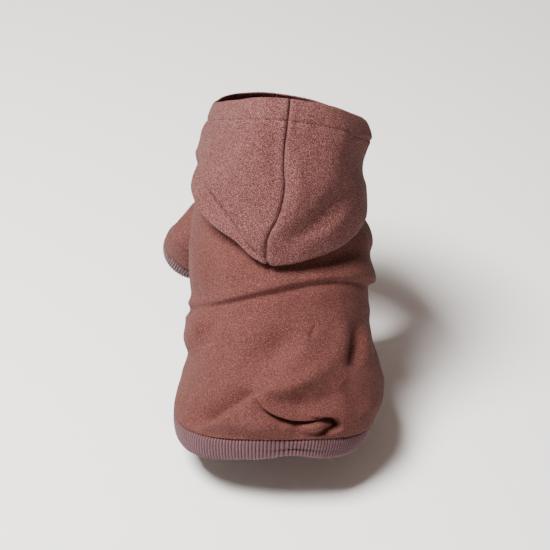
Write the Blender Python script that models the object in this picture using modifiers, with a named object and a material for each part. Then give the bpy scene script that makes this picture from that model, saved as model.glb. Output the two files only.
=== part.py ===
# Dog hoodie in brushed fleece, as worn by a sitting dog, with its hood lying on the back.
# Metres, +Z up. The dog would face +Y, and its left side is at -X.
# The spine slopes up and forward. A point is first given as across, along the spine and
# out from the spine, and place() turns that into world coordinates.

import math

import bmesh
import bpy
import numpy as np

# Driving sizes
SPINE_TILT = math.radians(50)
BACK_LENGTH = 0.245
TORSO_WIDTH = 0.150
TORSO_DEPTH = 0.150
FLEECE_WALL = 0.0021
RIB_WALL = 0.0030
SEAM_GAP = 0.0003
PANEL_GAP = 0.0008
HEM_BAND_WIDTH = 0.0165
HEM_HOLD = 0.012
HOOD_RIM_WIDTH = 0.129
HOOD_RIM_DEPTH = 0.156
HOOD_RIM_RISE = 0.032
HOOD_RIM_OUT = 0.043
HOOD_RIM_LEAN = 0.0050
HOOD_PUFF = 0.009
HOOD_FOLD_RADIUS = 0.0057
HOOD_STAND = 0.0060
HOOD_CLEARANCE = 0.0030
SLEEVE_RADIUS = 0.031
SLEEVE_LENGTH = 0.079
CUFF_RADIUS = 0.0265
CUFF_WIDTH = 0.014
WITHERS_SHARE = 0.80
CHEST_PANEL_TURN = math.radians(128)
BACK_PANEL_COLUMNS = 38
CHEST_PANEL_COLUMNS = 12
HOOD_COLUMNS_EACH = 16

FLEECE_COLOUR = (0.245, 0.108, 0.088, 1.0)
RIB_COLOUR = (0.155, 0.078, 0.082, 1.0)
CLOTH_ROUGHNESS = 0.95

# Torso sections from the hem to the neck. along: share of BACK_LENGTH on the spine.
# spine_out, belly_out: shares of TORSO_DEPTH. belly_along: share of BACK_LENGTH.
# left, right: half widths as shares of TORSO_WIDTH. sag: how late the section swings down
# to its belly end. keel: how much the lower half narrows.
TORSO_SECTIONS = (
    # along, spine_out, belly_along, belly_out, left, right, sag, keel
    (0.00, 0.375, 0.35, -0.42, 0.530, 0.480, 2.0, 0.00),
    (0.06, 0.430, 0.38, -0.45, 0.545, 0.520, 1.9, 0.00),
    (0.14, 0.465, 0.43, -0.47, 0.512, 0.572, 1.7, 0.00),
    (0.22, 0.475, 0.49, -0.49, 0.478, 0.552, 1.5, 0.05),
    (0.30, 0.470, 0.54, -0.51, 0.480, 0.515, 1.4, 0.10),
    (0.40, 0.455, 0.60, -0.53, 0.485, 0.490, 1.2, 0.20),
    (0.47, 0.445, 0.65, -0.55, 0.462, 0.485, 1.1, 0.28),
    (0.54, 0.445, 0.69, -0.56, 0.462, 0.502, 1.0, 0.36),
    (0.68, 0.440, 0.79, -0.57, 0.460, 0.498, 1.0, 0.48),
    (0.80, 0.440, 0.93, -0.54, 0.430, 0.420, 1.0, 0.45),
    (0.91, 0.445, 1.06, -0.45, 0.372, 0.362, 1.0, 0.25),
    (1.00, 0.445, 1.165, -0.33, 0.340, 0.340, 1.0, 0.05),
)

# Folds pressed into the torso cloth. Points are (across, along) seen square to the back:
# across in shares of TORSO_WIDTH, along in shares of BACK_LENGTH.
# lift is out (+) or in (-), as a share of TORSO_DEPTH; width is a share of TORSO_WIDTH.
TORSO_FOLDS = (
    # start, middle, end, lift, width
    # the upper edge of the puffed flap over the band, the crease under it and its dome
    ((-0.48, 0.070), (-0.31, 0.149), (-0.18, 0.212), 0.030, 0.070),
    ((-0.17, 0.200), (-0.03, 0.150), (0.18, 0.127), -0.040, 0.050),
    ((-0.38, 0.090), (-0.10, 0.095), (0.10, 0.095), 0.036, 0.085),
    ((0.245, 0.143), (0.276, 0.111), (0.231, 0.080), -0.045, 0.040),
    # soft ridges and valleys that climb the rump
    ((-0.40, 0.465), (-0.46, 0.392), (-0.50, 0.348), 0.022, 0.050),
    ((-0.33, 0.475), (-0.37, 0.433), (-0.395, 0.37), -0.020, 0.055),
    ((0.08, 0.418), (-0.05, 0.355), (-0.16, 0.298), -0.020, 0.090),
    ((0.23, 0.307), (0.08, 0.260), (-0.12, 0.222), 0.024, 0.075),
    ((0.375, 0.40), (0.365, 0.355), (0.355, 0.307), -0.024, 0.055),
    # soft drag line across the shoulders, under the hood
    ((-0.40, 0.60), (-0.10, 0.58), (0.25, 0.62), 0.012, 0.080),
)

# The cloth of the upper back rolls over the lower back along this line.
OVERLAP_LINE = ((-0.62, 0.500), (-0.38, 0.500), (-0.10, 0.538), (0.13, 0.569), (0.36, 0.578), (0.62, 0.530))
OVERLAP_MIDDLE_SHARE = 0.54
OVERLAP_LIFT_SHARE = 0.030
OVERLAP_TUCK_SHARE = 0.026
OVERLAP_WIDTH_SHARE = 0.085
OVERLAP_REACH_SHARE = 0.035

# Where the hood's bag folds back, for each turn round the neck (0 is the nape, minus is left).
# fold_turn, fold_along: the torso place that the fold lies on. bag: share of the full puff.
HOOD_FOLD = (
    # turn, fold_turn, fold_along, bag
    (-180, -180, 0.940, 0.08),
    (-150, -150, 0.935, 0.12),
    (-120, -119, 0.915, 0.20),
    (-90, -86, 0.870, 0.28),
    (-60, -58, 0.820, 0.50),
    (-30, -28, 0.725, 0.90),
    (0, -9, 0.636, 1.00),
    (30, 15, 0.660, 1.00),
    (60, 42, 0.712, 0.75),
    (90, 78, 0.790, 0.28),
    (120, 112, 0.860, 0.20),
    (150, 147, 0.930, 0.12),
    (180, 180, 0.940, 0.08),
)
HOOD_SAG = 0.0118
HOOD_SLANT = 0.0063
HOOD_THROAT_RISE = 0.022

# Sleeves: side, shoulder and cuff centres as (across, along, out) in shares of
# TORSO_WIDTH, BACK_LENGTH and TORSO_DEPTH.
SLEEVES = (
    # side, shoulder, cuff
    ("left", (-0.270, 0.850, -0.067), (-0.410, 0.690, -0.520)),
    ("right", (0.245, 0.810, -0.100), (0.385, 0.665, -0.520)),
)

# Sleeve rings: (share of SLEEVE_LENGTH from the shoulder, share of SLEEVE_RADIUS).
SLEEVE_SWELL = ((-0.20, 0.40), (-0.05, 0.68), (0.15, 0.88), (0.40, 0.98), (0.65, 0.97), (0.88, 0.94))
# Cuff rings: (share of CUFF_WIDTH, how far out in shares of RIB_WALL).
CUFF_SWELL = ((0.0, 0.05), (0.35, 0.0), (0.75, -0.15), (1.0, -0.30))
ARMHOLE_SHARES = (-0.1, 0.2, 0.6)
HEM_BAND_SHARES = (0.0, 0.33, 0.66, 0.93, 1.0)


def smooth_rows(rows, key):
    """Read a table at key, with a smooth curve through its rows."""
    table = np.array(rows, dtype=float)
    knots = table[:, 0]
    values = table[:, 1:]
    key = np.asarray(key, dtype=float)
    slopes = np.gradient(values, knots, axis=0)
    low = np.clip(np.searchsorted(knots, key, side="right") - 1, 0, len(knots) - 2)
    span = (knots[low + 1] - knots[low])[..., None]
    s = (np.clip(key, knots[0], knots[-1]) - knots[low])[..., None] / span
    start = (2 * s**3 - 3 * s**2 + 1) * values[low] + (s**3 - 2 * s**2 + s) * span * slopes[low]
    end = (3 * s**2 - 2 * s**3) * values[low + 1] + (s**3 - s**2) * span * slopes[low + 1]
    return start + end


def torso_form(turn, along):
    """The torso without folds: turn 0 is the spine and minus is left."""
    turn = np.asarray(turn, dtype=float)
    along = np.asarray(along, dtype=float)
    rows = smooth_rows(TORSO_SECTIONS, along)
    spine_out, belly_along, belly_out, left, right, sag, keel = np.moveaxis(rows, -1, 0)
    down = (1 - np.cos(turn)) / 2
    side = np.sin(turn)
    half_width = np.where(side < 0, left, right) * TORSO_WIDTH
    across = half_width * np.sign(side) * np.abs(side) ** 0.9
    across = across * (1 - keel * np.clip(-np.cos(turn), 0, 1) ** 1.5)
    length = (along + (belly_along - along) * down**sag) * BACK_LENGTH
    out = TORSO_DEPTH * ((spine_out + belly_out) / 2 + (spine_out - belly_out) / 2 * np.cos(turn))
    return np.stack([across, length, out], axis=-1)


def torso_normal(turn, along):
    """Outward unit normal of the torso form."""
    step = 0.004
    along = np.clip(along, step, 1 - step)
    by_turn = torso_form(turn + step, along) - torso_form(turn - step, along)
    by_along = torso_form(turn, along + step) - torso_form(turn, along - step)
    normal = np.cross(by_along, by_turn)
    return -normal / np.linalg.norm(normal, axis=-1, keepdims=True)


def bend_points(path, count):
    """Points on a smooth line through the few points of a path."""
    path = np.array(path, dtype=float)
    rows = np.column_stack([np.linspace(0, 1, len(path)), path])
    return smooth_rows(rows, np.linspace(0, 1, count))


def line_distance(points, path):
    """Signed distance to a path and the share of the path at the nearest point."""
    line = bend_points(path, 25)
    size = np.array([TORSO_WIDTH, BACK_LENGTH])
    line = line * size
    best = np.full(points.shape[:-1], np.inf)
    signed = np.zeros_like(best)
    share = np.zeros_like(best)
    for index in range(len(line) - 1):
        start = line[index]
        run = line[index + 1] - start
        rel = points - start
        s = np.clip((rel @ run) / (run @ run), 0, 1)
        gap = rel - s[..., None] * run
        distance = np.linalg.norm(gap, axis=-1)
        sign = np.sign(run[0] * rel[..., 1] - run[1] * rel[..., 0])
        nearer = distance < best
        best = np.where(nearer, distance, best)
        signed = np.where(nearer, distance * sign, signed)
        share = np.where(nearer, (index + s) / (len(line) - 1), share)
    return signed, share


def fold_lift(form, turn):
    """How far the folds move each torso point out along its normal."""
    seen = form[..., :2]
    upper_side = 1 / (1 + np.exp(-(np.cos(turn) + 0.25) * 12))
    lift = np.zeros(turn.shape)
    for start, middle, end, height, width in TORSO_FOLDS:
        distance, share = line_distance(seen, (start, middle, end))
        ridge = np.exp(-((distance / (width * TORSO_WIDTH)) ** 2))
        fade = np.clip(np.sin(np.pi * np.clip(share, 0.02, 0.98)), 0, 1) ** 0.5
        lift += height * TORSO_DEPTH * ridge * fade
    distance, _ = line_distance(seen, OVERLAP_LINE)
    reach = distance / (OVERLAP_WIDTH_SHARE * TORSO_WIDTH)
    rolled = np.where(reach > 0, OVERLAP_LIFT_SHARE * np.exp(-(reach * 0.8) ** 2), 0)
    tucked = np.where(reach <= 0, -OVERLAP_TUCK_SHARE * np.exp(-(reach * 0.9) ** 2), 0)
    blend = 1 / (1 + np.exp(-reach * 6))
    lift += TORSO_DEPTH * (rolled * blend + tucked * (1 - blend))
    return lift * upper_side


def place(points):
    """From across, along and out to world, with the origin under the cloth at the withers."""
    slope = np.array([
        [1, 0, 0],
        [0, math.cos(SPINE_TILT), -math.sin(SPINE_TILT)],
        [0, math.sin(SPINE_TILT), math.cos(SPINE_TILT)],
    ])
    withers = torso_form(np.array(0.0), np.array(WITHERS_SHARE))
    withers = withers - np.array([0, 0, FLEECE_WALL])
    return (points - withers) @ slope.T


def torso_cloth(turn, along):
    """Outer face of the torso cloth: the hem band holds the folds in near its seam."""
    form = torso_form(turn, along)
    held = np.clip((along * BACK_LENGTH - HEM_BAND_WIDTH) / HEM_HOLD - 0.15, 0, 1)
    lift = fold_lift(form, turn) * held
    return form + torso_normal(turn, along) * lift[..., None]


def hood_rim(turn):
    """The edge of the hood's opening round the neck."""
    nape = torso_form(np.array(0.0), np.array(1.0))
    top = nape[1] + HOOD_RIM_RISE
    side = np.sin(turn)
    down = (1 - np.cos(turn)) / 2
    across = HOOD_RIM_LEAN + HOOD_RIM_WIDTH / 2 * side
    length = top + HOOD_THROAT_RISE * down - HOOD_SAG * side**2 - HOOD_SLANT * side
    out = nape[2] + HOOD_RIM_OUT - HOOD_RIM_DEPTH * down
    return np.stack([across, length, out], axis=-1)


def hood_guides(turn):
    """Guide points of the hood cloth at one turn, from the neck seam to the opening edge."""
    rows = smooth_rows(HOOD_FOLD, np.degrees(turn))
    fold_turn = np.radians(rows[..., 0])
    fold_along = rows[..., 1]
    bag = rows[..., 2][..., None]
    seam = torso_form(turn, 1.0)
    seam_out = torso_normal(turn, 1.0)
    ahead = torso_form(turn, 1.0) - torso_form(turn, 0.97)
    ahead /= np.linalg.norm(ahead, axis=-1, keepdims=True)
    stand = HOOD_STAND * (0.6 + 0.4 * bag)
    guides = [
        seam + ahead * PANEL_GAP,
        seam + ahead * (PANEL_GAP + stand * 0.6) + seam_out * HOOD_CLEARANCE * 0.2,
        seam + ahead * (PANEL_GAP + stand) + seam_out * HOOD_CLEARANCE,
    ]
    lift = HOOD_CLEARANCE
    for share in (0.12, 0.40, 0.70, 0.94):
        at_turn = turn + (fold_turn - turn) * share
        at_along = 1 + (fold_along - 1) * share
        guides.append(torso_form(at_turn, at_along) + torso_normal(at_turn, at_along) * lift)
    fold_out = torso_normal(fold_turn, fold_along)
    fold = torso_form(fold_turn, fold_along)
    back = torso_form(fold_turn, np.clip(fold_along - 0.02, 0, 1)) - fold
    back /= np.linalg.norm(back, axis=-1, keepdims=True)
    radius = HOOD_FOLD_RADIUS * (0.8 + 0.2 * bag)
    guides.append(fold + fold_out * (lift + radius * 0.9) + back * radius * 0.6)
    top = fold + fold_out * (lift + radius * 2.0) - back * radius * 0.5
    guides.append(top)
    rim = hood_rim(turn)
    swell = HOOD_PUFF * bag
    for share, rise in ((0.22, 0.62), (0.48, 1.0), (0.74, 0.80), (0.90, 0.38)):
        guides.append(top + (rim - top) * share + fold_out * swell * rise)
    guides.append(rim)
    return np.stack(guides, axis=-2)


def hood_cloth(turn, down):
    """Outer face of the hood: down runs 0 at the neck seam to 1 at the opening edge."""
    guides = hood_guides(turn)
    count = guides.shape[-2]
    padded = np.concatenate([
        2 * guides[..., :1, :] - guides[..., 1:2, :],
        guides,
        2 * guides[..., -1:, :] - guides[..., -2:-1, :],
    ], axis=-2)
    spot = np.clip(down, 0, 1) * (count - 1)
    low = np.clip(np.floor(spot).astype(int), 0, count - 2)
    s = (spot - low)[..., None]
    near = [np.take_along_axis(padded, (low + k)[..., None, None], axis=-2)[..., 0, :] for k in range(4)]
    return 0.5 * (
        2 * near[1]
        + (near[2] - near[0]) * s
        + (2 * near[0] - 5 * near[1] + 4 * near[2] - near[3]) * s**2
        + (3 * near[1] - near[0] - 3 * near[2] + near[3]) * s**3
    )


def cloth_material(name, colour):
    material = bpy.data.materials.new(name)
    material.diffuse_color = colour
    material.use_nodes = True
    shader = material.node_tree.nodes["Principled BSDF"]
    shader.inputs["Base Color"].default_value = colour
    shader.inputs["Roughness"].default_value = CLOTH_ROUGHNESS
    shader.inputs["Metallic"].default_value = 0.0
    return material


def grid_object(name, points, collection, wrap=False, caps=False):
    """A mesh through a grid of points; wrap joins the last column to the first."""
    columns, rows = points.shape[:2]
    mesh = bpy.data.meshes.new(name)
    form = bmesh.new()
    verts = [[form.verts.new(points[i, j]) for j in range(rows)] for i in range(columns)]
    for i in range(columns if wrap else columns - 1):
        here = verts[i]
        there = verts[(i + 1) % columns]
        for j in range(rows - 1):
            form.faces.new((here[j], there[j], there[j + 1], here[j + 1]))
    if caps:
        form.faces.new([column[0] for column in reversed(verts)])
        form.faces.new([column[-1] for column in verts])
    form.to_mesh(mesh)
    form.free()
    mesh.shade_smooth()
    item = bpy.data.objects.new(name, mesh)
    collection.objects.link(item)
    return item


def thicken(item, wall):
    """Give an open sheet its wall, inward from its outer face."""
    shell = item.modifiers.new("Wall", "SOLIDIFY")
    shell.thickness = wall
    shell.offset = -1
    shell.use_even_offset = True
    shell.use_quality_normals = True


def cut(item, cutter):
    boolean = item.modifiers.new("Cut " + cutter.name, "BOOLEAN")
    boolean.operation = "DIFFERENCE"
    boolean.solver = "EXACT"
    boolean.object = cutter


def make_guide(item):
    item.hide_render = True
    item.display_type = "WIRE"


def sleeve_frame(shoulder, cuff):
    """The shoulder end, the axis and two unit directions square to it."""
    size = np.array([TORSO_WIDTH, BACK_LENGTH, TORSO_DEPTH])
    top = np.array(shoulder) * size
    axis = np.array(cuff) * size - top
    axis /= np.linalg.norm(axis)
    outward = np.array([1.0, 0.0, 0.0])
    outward = outward - axis * (outward @ axis)
    outward /= np.linalg.norm(outward)
    return top, axis, outward, np.cross(axis, outward)


def tube_points(frame, stations, sides):
    """Rings round a sleeve's axis; stations hold (distance from the shoulder, radius)."""
    top, axis, outward, across = frame
    angles = np.linspace(0, 2 * np.pi, sides, endpoint=False)
    rings = []
    for distance, radius in stations:
        ring = np.outer(np.cos(angles), outward) + np.outer(np.sin(angles), across)
        rings.append(top + axis * distance + ring * radius)
    return np.stack(rings, axis=1)


def overlap_along(turn):
    """Where the overlap line crosses each turn, as a share of the back."""
    line = bend_points(OVERLAP_LINE, 60)
    along = np.full(turn.shape, OVERLAP_MIDDLE_SHARE)
    for _ in range(4):
        form = torso_form(turn, along)
        target = np.interp(form[..., 0] / TORSO_WIDTH, line[:, 0], line[:, 1])
        along = along + target - form[..., 1] / BACK_LENGTH
    hidden = np.cos(turn) < -0.3
    return np.where(hidden, OVERLAP_MIDDLE_SHARE, np.clip(along, 0.35, 0.70))


def along_rows(turns):
    """Rows up the back for each turn: closer together at the overlap, and level with it."""
    hem = (HEM_BAND_WIDTH + PANEL_GAP) / BACK_LENGTH
    low = OVERLAP_MIDDLE_SHARE - OVERLAP_REACH_SHARE
    high = OVERLAP_MIDDLE_SHARE + OVERLAP_REACH_SHARE
    near_hem = hem + FLEECE_WALL / BACK_LENGTH / 2
    stops = ((hem, 1), (near_hem, 6), (0.26, 4), (low, 4), (high, 3), (0.74, 4), (1.0, 0))
    rows = []
    for (first, count), (last, _) in zip(stops, stops[1:]):
        rows.extend(np.linspace(first, last, count, endpoint=False))
    rows = np.array(rows + [1.0])
    shift = overlap_along(turns) - OVERLAP_MIDDLE_SHARE
    near = np.exp(-(((rows - OVERLAP_MIDDLE_SHARE) / 0.22) ** 2)) * np.clip((1 - rows) / 0.2, 0, 1)
    near = near * np.clip((rows - hem) / 0.1, 0, 1)
    return rows + shift[:, None] * near


def torso_panel(name, first_turn, last_turn, columns, collection):
    turns = np.linspace(first_turn, last_turn, columns + 1)
    along = along_rows(turns)
    turn = np.broadcast_to(turns[:, None], along.shape)
    return grid_object(name, place(torso_cloth(turn, along)), collection)


def main():
    for item in list(bpy.data.objects):
        bpy.data.objects.remove(item, do_unlink=True)
    parts = bpy.data.collections.new("dog_hoodie")
    guides = bpy.data.collections.new("guides")
    bpy.context.scene.collection.children.link(parts)
    bpy.context.scene.collection.children.link(guides)
    fleece = cloth_material("brown_fleece", FLEECE_COLOUR)
    rib = cloth_material("plum_rib", RIB_COLOUR)

    # Torso panels
    seam = 2 * PANEL_GAP / TORSO_WIDTH
    back = torso_panel("back_panel", -CHEST_PANEL_TURN, CHEST_PANEL_TURN, BACK_PANEL_COLUMNS, parts)
    chest = torso_panel("chest_panel", CHEST_PANEL_TURN + seam, 2 * math.pi - CHEST_PANEL_TURN - seam,
                        CHEST_PANEL_COLUMNS, parts)
    for panel in (back, chest):
        thicken(panel, FLEECE_WALL)
        panel.data.materials.append(fleece)

    # The outer form of the torso, which trims the sleeves
    turns = np.linspace(-math.pi, math.pi, 72, endpoint=False)
    turn, along = np.meshgrid(turns, np.linspace(0.3, 1.0, 24), indexing="ij")
    trim = torso_cloth(turn, along) + torso_normal(turn, along) * SEAM_GAP
    torso_trim = grid_object("torso_trim", place(trim), guides, wrap=True, caps=True)
    make_guide(torso_trim)

    # Sleeves and cuffs
    for side, shoulder, cuff_centre in SLEEVES:
        frame = sleeve_frame(shoulder, cuff_centre)
        stations = [(share * SLEEVE_LENGTH, SLEEVE_RADIUS * swell) for share, swell in SLEEVE_SWELL]
        stations.append((SLEEVE_LENGTH, CUFF_RADIUS))
        sleeve = grid_object(side + "_sleeve", place(tube_points(frame, stations, 28)), parts, wrap=True)
        thicken(sleeve, FLEECE_WALL)
        cut(sleeve, torso_trim)
        sleeve.data.materials.append(fleece)
        bore_ends = [(SLEEVE_LENGTH * share, SLEEVE_RADIUS - FLEECE_WALL) for share in ARMHOLE_SHARES]
        bore = grid_object(side + "_armhole", place(tube_points(frame, bore_ends, 28)), guides,
                           wrap=True, caps=True)
        make_guide(bore)
        cut(back, bore)
        cut(chest, bore)
        band = [(SLEEVE_LENGTH + SEAM_GAP + CUFF_WIDTH * share, CUFF_RADIUS + RIB_WALL * swell)
                for share, swell in CUFF_SWELL]
        cuff = grid_object(side + "_cuff", place(tube_points(frame, band, 28)), parts, wrap=True)
        thicken(cuff, RIB_WALL)
        cuff.data.materials.append(rib)

    # Hem band
    over_back = np.linspace(-CHEST_PANEL_TURN, CHEST_PANEL_TURN, BACK_PANEL_COLUMNS + 1)
    under_belly = np.linspace(CHEST_PANEL_TURN, 2 * math.pi - CHEST_PANEL_TURN, CHEST_PANEL_COLUMNS + 1)
    turns = np.concatenate([over_back, under_belly[1:-1]])
    rows = np.array(HEM_BAND_SHARES) * HEM_BAND_WIDTH / BACK_LENGTH
    turn, along = np.meshgrid(turns, rows, indexing="ij")
    hem = grid_object("hem_band", place(torso_cloth(turn, along)), parts, wrap=True)
    thicken(hem, RIB_WALL)
    hem.data.materials.append(rib)

    # Hood halves
    seam = 1.7 * PANEL_GAP / HOOD_RIM_WIDTH
    turns = np.append(np.linspace(seam, math.pi - seam, HOOD_COLUMNS_EACH), seam + FLEECE_WALL / HOOD_RIM_WIDTH)
    turns = np.sort(turns)
    for side, half_turns in (("left", -turns[::-1]), ("right", turns)):
        turn, down = np.meshgrid(half_turns, np.linspace(0, 1, 22), indexing="ij")
        half = grid_object("hood_" + side, place(hood_cloth(turn, down)), parts)
        thicken(half, FLEECE_WALL)
        half.data.materials.append(fleece)


main()
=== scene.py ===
# Dressed model of a brown brushed-fleece dog hoodie, worn, with its hood lying on the back.
# Metres, +Z up; the dog would face +Y and its left side is at -X.
import math

import bmesh
import bpy
import numpy as np
from mathutils import Matrix, Vector


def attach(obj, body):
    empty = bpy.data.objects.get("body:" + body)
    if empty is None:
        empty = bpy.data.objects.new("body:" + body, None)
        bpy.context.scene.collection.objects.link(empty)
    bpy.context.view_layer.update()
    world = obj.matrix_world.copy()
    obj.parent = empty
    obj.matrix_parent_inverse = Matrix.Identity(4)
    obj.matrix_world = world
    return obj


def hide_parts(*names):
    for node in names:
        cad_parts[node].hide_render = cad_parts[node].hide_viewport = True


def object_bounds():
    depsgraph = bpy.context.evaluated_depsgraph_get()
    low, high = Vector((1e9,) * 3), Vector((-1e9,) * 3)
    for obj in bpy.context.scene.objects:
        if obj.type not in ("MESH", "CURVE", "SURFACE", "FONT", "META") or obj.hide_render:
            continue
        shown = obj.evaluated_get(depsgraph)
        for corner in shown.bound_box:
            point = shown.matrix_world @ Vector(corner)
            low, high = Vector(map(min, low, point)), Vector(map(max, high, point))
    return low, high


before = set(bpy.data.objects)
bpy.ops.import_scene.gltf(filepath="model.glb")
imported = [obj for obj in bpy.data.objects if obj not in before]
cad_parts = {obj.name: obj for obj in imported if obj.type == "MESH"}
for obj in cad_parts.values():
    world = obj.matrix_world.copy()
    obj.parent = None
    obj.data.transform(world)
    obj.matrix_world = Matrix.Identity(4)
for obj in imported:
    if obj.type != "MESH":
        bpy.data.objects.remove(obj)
cad_box = [list(corner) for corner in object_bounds()]


# Camera and studio
# The photograph looks square down on the sloping back from a little to the left.
# A pale floor lies under the hem, a soft window is at the upper left and a faint warm lamp
# at the right.
SPINE_TILT = math.radians(50)
BACK_LENGTH = 0.245
TORSO_WIDTH = 0.15
TORSO_DEPTH = 0.15
FLEECE_WALL = 0.0021
WITHERS_ALONG = 0.8
WITHERS_OUT = 0.0639
CAMERA_DISTANCE = 1.4
CAMERA_AIM = (0.0, 0.141, 0.02)
CAMERA_TURN = math.radians(6)
PIXELS_PER_METRE = 1250
PHOTO_SIZE = 550
AIM_PIXEL = (279, 280)
SENSOR_WIDTH = 36.0
FLOOR_DROP = 0.03
FLOOR_SIZE = 24.0
FLOOR_COLOUR = (0.96, 0.96, 0.955, 1.0)
FLOOR_ROUGHNESS = 0.9
# name, seen from the camera's side: across, up and back in metres, size, power, colour
LAMPS = (
    ("key_window", (-0.56, 0.88, 1.14), 0.55, 84.0, (1.0, 0.97, 0.95)),
    ("warm_fill", (1.0, -0.6, 1.0), 1.2, 2.0, (1.0, 0.74, 0.62)),
)
SKY_LEFT = (0.52, 0.45, 0.41, 1.0)
SKY_RIGHT = (0.12, 0.075, 0.06, 1.0)
SKY_BLEND = 0.6
SKY_STRENGTH = 0.8


def place(points):
    """From across, along the spine and out from it, to the frame's own coordinates."""
    slope = np.array([
        [1, 0, 0],
        [0, math.cos(SPINE_TILT), -math.sin(SPINE_TILT)],
        [0, math.sin(SPINE_TILT), math.cos(SPINE_TILT)],
    ])
    withers = np.array([0, WITHERS_ALONG * BACK_LENGTH, WITHERS_OUT])
    return (np.asarray(points) - withers) @ slope.T


def add_object(name, data):
    """A new object in the scene."""
    item = bpy.data.objects.new(name, data)
    bpy.context.scene.collection.objects.link(item)
    return item


def wire(tree, node, inputs):
    """Give a node's inputs their values, or link them to the outputs that feed them."""
    for key, value in inputs.items():
        if isinstance(value, bpy.types.NodeSocket):
            tree.links.new(value, node.inputs[key])
        else:
            node.inputs[key].default_value = value


def add_node(tree, kind, inputs=None, **settings):
    """A new node with its settings and its inputs."""
    node = tree.nodes.new(kind)
    for label, value in settings.items():
        setattr(node, label, value)
    wire(tree, node, inputs or {})
    return node


def add_mix(tree, factor, first, second, blend="MIX"):
    """The output of a node that mixes two colours."""
    inputs = {"Factor": factor, "A": first, "B": second}
    return add_node(tree, "ShaderNodeMix", inputs, data_type="RGBA", blend_type=blend).outputs["Result"]


def add_range(tree, source, low, high):
    """The output of a node that spreads low to high over 0 to 1."""
    inputs = {"Value": source, "From Min": low, "From Max": high}
    return add_node(tree, "ShaderNodeMapRange", inputs).outputs["Result"]


def new_material(name):
    """A new material, its node tree and its shader."""
    material = bpy.data.materials.new(name)
    material.use_nodes = True
    return material, material.node_tree, material.node_tree.nodes["Principled BSDF"]


up = place((0, 1, 0)) - place((0, 0, 0))
square = place((0, 0, 1)) - place((0, 0, 0))
right = np.array([math.cos(CAMERA_TURN), 0, 0]) + math.sin(CAMERA_TURN) * square
back = math.cos(CAMERA_TURN) * square - np.array([math.sin(CAMERA_TURN), 0, 0])
aim = place(CAMERA_AIM)
camera_data = bpy.data.cameras.new("camera")
camera_data.sensor_width = SENSOR_WIDTH
camera_data.lens = SENSOR_WIDTH * PIXELS_PER_METRE * CAMERA_DISTANCE / PHOTO_SIZE
camera_data.shift_x = (PHOTO_SIZE / 2 - AIM_PIXEL[0]) / PHOTO_SIZE
camera_data.shift_y = (AIM_PIXEL[1] - PHOTO_SIZE / 2) / PHOTO_SIZE
camera = add_object("camera", camera_data)
turn_matrix = Matrix((right, up, back)).transposed().to_4x4()
camera.matrix_world = Matrix.Translation(Vector(aim + CAMERA_DISTANCE * back)) @ turn_matrix
bpy.context.scene.camera = camera

floor_mesh = bpy.data.meshes.new("floor")
half = FLOOR_SIZE / 2
floor_level = cad_box[0][2] - FLOOR_DROP
corners = [(-half, -half, floor_level), (half, -half, floor_level),
           (half, half, floor_level), (-half, half, floor_level)]
floor_mesh.from_pydata(corners, [], [(0, 1, 2, 3)])
floor = add_object("floor", floor_mesh)
floor_paint, floor_tree, floor_shader = new_material("pale_floor")
wire(floor_tree, floor_shader, {"Base Color": FLOOR_COLOUR, "Roughness": FLOOR_ROUGHNESS})
floor_mesh.materials.append(floor_paint)

for name, spot, size, power, colour in LAMPS:
    lamp_data = bpy.data.lights.new(name, "AREA")
    lamp_data.size = size
    lamp_data.energy = power
    lamp_data.color = colour
    lamp = add_object(name, lamp_data)
    lamp.location = Vector(aim + spot[0] * right + spot[1] * up + spot[2] * back)
    lamp.rotation_euler = (lamp.location - Vector(aim)).to_track_quat("Z", "Y").to_euler()
world = bpy.data.worlds.new("studio")
world.use_nodes = True
sky = world.node_tree
sky_spot = add_node(sky, "ShaderNodeTexCoord")
sky_parts = add_node(sky, "ShaderNodeSeparateXYZ", {"Vector": sky_spot.outputs["Generated"]})
sky_side = add_range(sky, sky_parts.outputs["X"], -SKY_BLEND, SKY_BLEND)
sky_tone = add_mix(sky, sky_side, SKY_LEFT, SKY_RIGHT)
wire(sky, sky.nodes["Background"], {"Color": sky_tone, "Strength": SKY_STRENGTH})
bpy.context.scene.world = world


# Back panel and chest panel
# Two panels of brushed fleece, napped outside, sewn to each other along the flanks,
# to the rib band at the hem and to the hood at the neck. The photo's folds are all here.
HEM_BAND_WIDTH = 0.0165
PANEL_GAP = 0.0008
HEM_HOLD = 0.012
HEM_LEFT_SWELL = 0.004
CHEST_TURN = math.radians(128)
BACK_COLUMNS = 300
CHEST_COLUMNS = 90
# along, spine_out, belly_along, belly_out, left, right, sag, keel
TORSO_SECTIONS = (
    (0.00, 0.375, 0.35, -0.42, 0.530, 0.480, 2.0, 0.00),
    (0.06, 0.430, 0.38, -0.45, 0.545, 0.520, 1.9, 0.00),
    (0.14, 0.465, 0.43, -0.47, 0.512, 0.572, 1.7, 0.00),
    (0.22, 0.475, 0.49, -0.49, 0.478, 0.552, 1.5, 0.05),
    (0.30, 0.470, 0.54, -0.51, 0.480, 0.515, 1.4, 0.10),
    (0.40, 0.455, 0.60, -0.53, 0.485, 0.490, 1.2, 0.20),
    (0.47, 0.445, 0.65, -0.55, 0.462, 0.485, 1.1, 0.28),
    (0.54, 0.445, 0.69, -0.56, 0.462, 0.502, 1.0, 0.36),
    (0.68, 0.440, 0.79, -0.57, 0.460, 0.498, 1.0, 0.48),
    (0.80, 0.440, 0.93, -0.54, 0.430, 0.420, 1.0, 0.45),
    (0.91, 0.445, 1.06, -0.45, 0.372, 0.362, 1.0, 0.25),
    (1.00, 0.445, 1.165, -0.33, 0.340, 0.340, 1.0, 0.05),
)
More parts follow.
